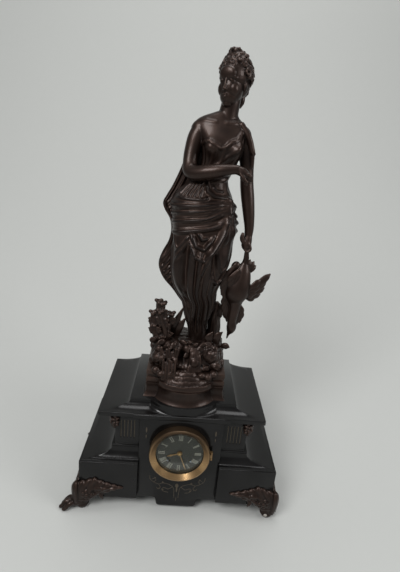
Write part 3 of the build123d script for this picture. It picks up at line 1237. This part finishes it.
with BuildPart() as fly:
    arbor(*fly_at)
    toothed(*fly_at, FLY_PINION_TEETH, STRIKE_MODULE, gap_turn(FLY_ANGLE + 180, FLY_PINION_TEETH),
            second_rear - PINION_LENGTH, second_rear)
    fly_front = plates_in + FLY_LEVEL
    vane_z = dial_z + fly_at[1]
    span((fly_at[0] - FLY_RADIUS, fly_front, vane_z - FLY_THICKNESS),
         (fly_at[0] + FLY_RADIUS, fly_front + FLY_LENGTH, vane_z + FLY_THICKNESS))
write(fly, "fly")

bell_mouth = BELL_BACK - BELL_DEPTH
with BuildPart() as bell:
    crown = BELL_CROWN_SHARE * BELL_RADIUS
    waist = BELL_WAIST_SHARE * BELL_RADIUS
    shoulder = BELL_BACK - BELL_SHOULDER_SHARE * BELL_DEPTH
    with BuildSketch(Plane.XY.offset(dial_z - BELL_DROP)) as section:
        with BuildLine():
            Polyline((STAND_RADIUS, BELL_BACK - BELL_WALL), (STAND_RADIUS, BELL_BACK), (crown, BELL_BACK))
            ThreePointArc((crown, BELL_BACK), (waist, shoulder), (BELL_RADIUS, bell_mouth))
            Line((BELL_RADIUS, bell_mouth), (BELL_RADIUS - BELL_WALL, bell_mouth))
            ThreePointArc((BELL_RADIUS - BELL_WALL, bell_mouth), (waist - BELL_WALL, shoulder - BELL_WALL),
                          (crown, BELL_BACK - BELL_WALL))
            Line((crown, BELL_BACK - BELL_WALL), (STAND_RADIUS, BELL_BACK - BELL_WALL))
        make_face()
    revolve(axis=Axis((0, 0, dial_z - BELL_DROP), (0, 1, 0)))
write(bell, "bell")

with BuildPart() as bell_stand:
    arm_front = BELL_BACK - BELL_WALL - STAND_SETBACK - 2 * STAND_RADIUS
    drum(STAND_X, -STAND_DROP, STAND_RADIUS, plate_back, arm_front + 2 * STAND_RADIUS)
    arm_turn = degrees(atan2(STAND_DROP - BELL_DROP, -STAND_X))
    arm_plane = Plane(origin=(STAND_X, arm_front + 2 * STAND_RADIUS, dial_z - STAND_DROP),
                      x_dir=(cos(radians(arm_turn)), 0, sin(radians(arm_turn))), z_dir=(0, -1, 0))
    arm_length = hypot(STAND_X, STAND_DROP - BELL_DROP)
    with BuildSketch(arm_plane) as arm:
        with Locations((arm_length / 2, 0)):
            SlotCenterToCenter(arm_length, 2 * STAND_RADIUS)
    extrude(amount=2 * STAND_RADIUS)
    drum(0, -BELL_DROP, STAND_RADIUS, arm_front, BELL_BACK)
    drum(0, -BELL_DROP, 2 * STAND_RADIUS, BELL_BACK, BELL_BACK + STAND_RADIUS)
write(bell_stand, "bell_stand")

with BuildPart() as hammer:
    head_x = -(BELL_RADIUS + HAMMER_GAP + HAMMER_HEAD)
    head_front = bell_mouth - HAMMER_OVERHANG_SHARE * HAMMER_LENGTH
    arbor(*hammer_at, rear_end=head_front + HAMMER_LENGTH)
    hammer_z = dial_z + HAMMER_RISE
    drum(*hammer_at, ARBOR_RADIUS, plate_back + END_SHAKE, head_front + HAMMER_LENGTH)
    span((head_x - ARBOR_RADIUS, head_front, dial_z - BELL_DROP),
         (max(head_x, -HAMMER_X) + ARBOR_RADIUS, head_front + HAMMER_LENGTH / 2, hammer_z))
    drum(head_x, -BELL_DROP, HAMMER_HEAD, head_front, head_front + HAMMER_LENGTH)
write(hammer, "hammer")

with BuildPart() as movement_straps:
    strap_in = PLATE_RADIUS + STRAP_GAP
    for sign in (-1, 1):
        span((sign * strap_in, panel_front, dial_z - STRAP_WIDTH / 2),
             (sign * (strap_in + STRAP_THICKNESS), back, dial_z + STRAP_WIDTH / 2))
write(movement_straps, "movement_straps")

# Rear ring and door
ring_back = back + REAR_RING_THICKNESS
door_front = ring_back + DOOR_GAP
rear_hinge_y = ring_back + DOOR_GAP / 2
with BuildPart() as rear_ring:
    rim = BEZEL_RADIUS - BASE_INSET
    turned(((REAR_RING_INSIDE, back), (rim, back), (rim, ring_back), (REAR_RING_INSIDE, ring_back)))
    leaf_x = BEZEL_RADIUS - 2 * KNUCKLE_RADIUS
    knuckles(hinge_x, rear_hinge_y, leaf_x, ring_back - KNUCKLE_RADIUS, ring_back, middle=False)
write(rear_ring, "rear_ring")

with BuildPart() as rear_door:
    door_rear = door_front + REAR_DOOR_THICKNESS
    drum(0, 0, REAR_DOOR_RADIUS, door_front, door_rear)
    with BuildSketch(facing(door_rear)) as vents:
        with Locations((0, dial_z)):
            with PolarLocations(REAR_VENT_CIRCLE, REAR_VENTS):
                Circle(REAR_VENT_RADIUS)
    extrude(amount=REAR_DOOR_THICKNESS, mode=Mode.SUBTRACT)
    drum(-REAR_KNOB_X, 0, REAR_KNOB_RADIUS, door_front, door_rear + REAR_KNOB_LENGTH)
    knuckles(hinge_x, rear_hinge_y, REAR_DOOR_RADIUS - KNUCKLE_RADIUS, door_front, door_rear, middle=True)
write(rear_door, "rear_door")
